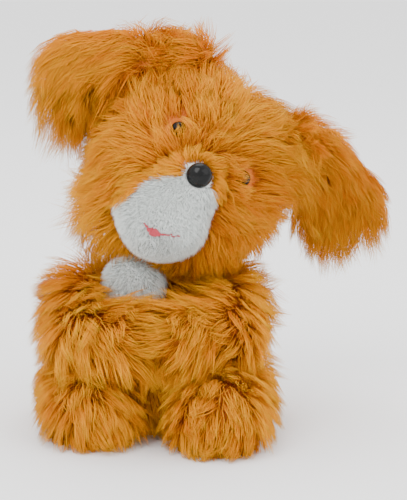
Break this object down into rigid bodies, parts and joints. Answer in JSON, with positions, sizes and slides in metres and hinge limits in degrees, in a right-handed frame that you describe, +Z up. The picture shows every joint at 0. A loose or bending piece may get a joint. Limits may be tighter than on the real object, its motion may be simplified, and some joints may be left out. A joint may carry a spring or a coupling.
{
  "type": "interactive plush pet",
  "caption": "Sitting plush puppy with long orange pile, a rolled head on a motor-driven neck, flapping ears and disc-jointed limbs.",
  "frame": {"origin": "centre of the flat seat that the puppy rests on, on the surface it stands on", "axes": "+Z up, -Y out of the puppy's chest, the side that it faces, +X to the right of a viewer in front of it"},
  "size_m": [0.1986, 0.1675, 0.2359],
  "materials": {
    "orange_plush": "long clumped acrylic pile",
    "pale_plush": "short dense pile",
    "pink_felt": "pressed felt",
    "stuffing": "polyester fibre",
    "black_gloss": "polished",
    "moulded_plastic": "fine texture",
    "dark_plastic": "fine texture",
    "gear_plastic": "smooth acetal",
    "steel": "plain",
    "motor_steel": "drawn can",
    "board_green": "solder mask",
    "cell_sleeve": "printed sleeve, no marks",
    "wire_red": "insulation"
  },
  "bodies": {
    "torso": {"torso_cover": "orange_plush", "torso_stuffing": "stuffing", "chest_bib": "pale_plush", "tail_stub": "orange_plush", "housing_front": "moulded_plastic", "housing_rear": "moulded_plastic", "housing_screws": "steel", "gear_plate": "moulded_plastic", "motor_can": "motor_steel", "gear_axle": "steel", "neck_bush": "moulded_plastic", "speaker": "dark_plastic", "circuit_board": "board_green", "board_parts": "dark_plastic", "battery_cells": "cell_sleeve", "battery_contacts": "steel", "switch_case": "dark_plastic", "wire_loom": "wire_red", "limb_washers": "moulded_plastic"},
    "neck": {"neck_shaft": "moulded_plastic", "neck_gear": "gear_plastic", "neck_ring": "steel"},
    "head": {"head_cover": "orange_plush", "head_stuffing": "stuffing", "head_frame": "moulded_plastic", "tilt_pin": "steel", "muzzle": "pale_plush", "nose": "black_gloss", "mouth_felt": "pink_felt", "eye_left": "black_gloss", "eye_right": "black_gloss", "eye_washers": "moulded_plastic", "ear_brackets": "moulded_plastic", "ear_pins": "steel"},
    "ear_left": {"ear_left_cover": "orange_plush", "ear_left_paddle": "moulded_plastic"},
    "ear_right": {"ear_right_cover": "orange_plush", "ear_right_paddle": "moulded_plastic"},
    "arm_left": {"arm_left_cover": "orange_plush", "arm_left_stuffing": "stuffing", "arm_left_pin": "moulded_plastic", "paw_switch_case": "dark_plastic"},
    "arm_right": {"arm_right_cover": "orange_plush", "arm_right_stuffing": "stuffing", "arm_right_pin": "moulded_plastic"},
    "leg_left": {"leg_left_cover": "orange_plush", "leg_left_stuffing": "stuffing", "leg_left_pin": "moulded_plastic"},
    "leg_right": {"leg_right_cover": "orange_plush", "leg_right_stuffing": "stuffing", "leg_right_pin": "moulded_plastic"},
    "reduction_gear": {"reduction_gear": "gear_plastic"},
    "motor_pinion": {"motor_pinion": "gear_plastic"},
    "paw_button": {"paw_button": "dark_plastic"},
    "power_switch": {"power_switch_knob": "dark_plastic"},
    "battery_door": {"battery_door": "moulded_plastic", "door_screw": "steel"}
  },
  "joints": [
    {"name": "head_turn", "type": "hinge", "parent": "torso", "child": "neck", "pos_m": [0, -0.008, 0.05], "axis": [0, 0, 1], "range_deg": [-25, 25]},
    {"name": "head_tilt", "type": "hinge", "parent": "neck", "child": "head", "pos_m": [0, -0.008, 0.1294], "axis": [0, 1, 0], "range_deg": [-60, 0]},
    {"name": "ear_left_flap", "type": "hinge", "parent": "head", "child": "ear_left", "pos_m": [0.02752, -0.01, 0.22745], "axis": [0, 1, 0], "range_deg": [0, 35]},
    {"name": "ear_right_flap", "type": "hinge", "parent": "head", "child": "ear_right", "pos_m": [0.08848, -0.01, 0.17982], "axis": [0.1962, -0.8192, -0.539], "range_deg": [0, 35]},
    {"name": "arm_left_swing", "type": "hinge", "parent": "torso", "child": "arm_left", "pos_m": [-0.034, -0.004, 0.068], "axis": [-1, 0, 0], "range_deg": [0, 25]},
    {"name": "arm_right_swing", "type": "hinge", "parent": "torso", "child": "arm_right", "pos_m": [0.034, -0.004, 0.068], "axis": [-1, 0, 0], "range_deg": [0, 25]},
    {"name": "leg_left_swing", "type": "hinge", "parent": "torso", "child": "leg_left", "pos_m": [-0.034, 0.004, 0.024], "axis": [1, 0, 0], "range_deg": [-4, 25]},
    {"name": "leg_right_swing", "type": "hinge", "parent": "torso", "child": "leg_right", "pos_m": [0.034, 0.004, 0.024], "axis": [1, 0, 0], "range_deg": [-4, 25]},
    {"name": "reduction_spin", "type": "hinge", "parent": "torso", "child": "reduction_gear", "pos_m": [-0.00496, 0.0093, 0.05], "axis": [0, 0, 1], "range_deg": [-50, 50]},
    {"name": "motor_spin", "type": "hinge", "parent": "torso", "child": "motor_pinion", "pos_m": [0.01072, 0.01249, 0.05], "axis": [0, 0, 1], "range_deg": [-110, 110]},
    {"name": "paw_press", "type": "slide", "parent": "arm_left", "child": "paw_button", "axis": [0, 1, 0], "range_m": [0, 0.0012], "stiffness_N_per_m": 400},
    {"name": "power_slide", "type": "slide", "parent": "torso", "child": "power_switch", "axis": [1, 0, 0], "range_m": [0, 0.004]},
    {"name": "battery_door_lift", "type": "slide", "parent": "torso", "child": "battery_door", "axis": [0, 0, -1], "range_m": [0, 0.012]}
  ],
  "couplings": [
    {"joint": "reduction_spin", "follows": "head_turn", "ratio": -2},
    {"joint": "motor_spin", "follows": "head_turn", "ratio": 4.4}
  ]
}
